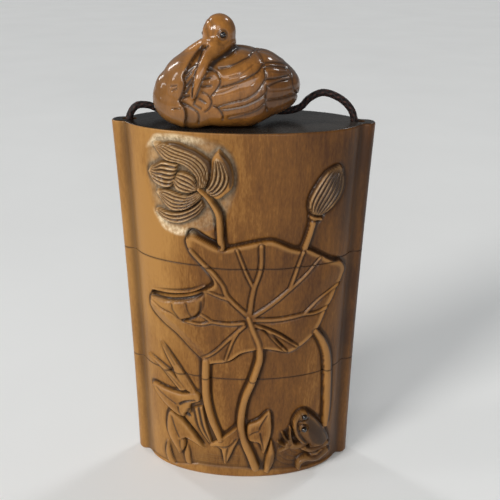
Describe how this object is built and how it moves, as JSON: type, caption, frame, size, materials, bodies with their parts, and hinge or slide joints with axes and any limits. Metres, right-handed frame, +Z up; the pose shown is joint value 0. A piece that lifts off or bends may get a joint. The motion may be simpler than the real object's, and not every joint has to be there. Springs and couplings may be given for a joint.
{
  "type": "inro case with netsuke",
  "caption": "Stacked carved boxwood case with lotus relief, a lift-off lid, nested sections, side cord channels and a crane toggle on its cord.",
  "frame": {"origin": "centre of the case's underside, on the surface it stands on", "axes": "+Z up through the lid, -Y out of the carved front, +X to the right of the front"},
  "size_m": [0.06, 0.0279, 0.119],
  "materials": {
    "case_wood": "honey-brown polished boxwood, stained dark in the cuts and on the lid's top",
    "netsuke_wood": "red-brown polished boxwood, darker in the cuts",
    "horn": "polished black horn",
    "cord_braid": "round braid in black and brown silk"
  },
  "bodies": {
    "root": {"bottom_case": "case_wood", "middle_case": "case_wood", "lid": "case_wood", "netsuke": "netsuke_wood", "crane_eye_left": "horn", "crane_eye_right": "horn", "frog_eye_front": "horn", "frog_eye_back": "horn", "cord": "cord_braid"}
  },
  "joints": []
}
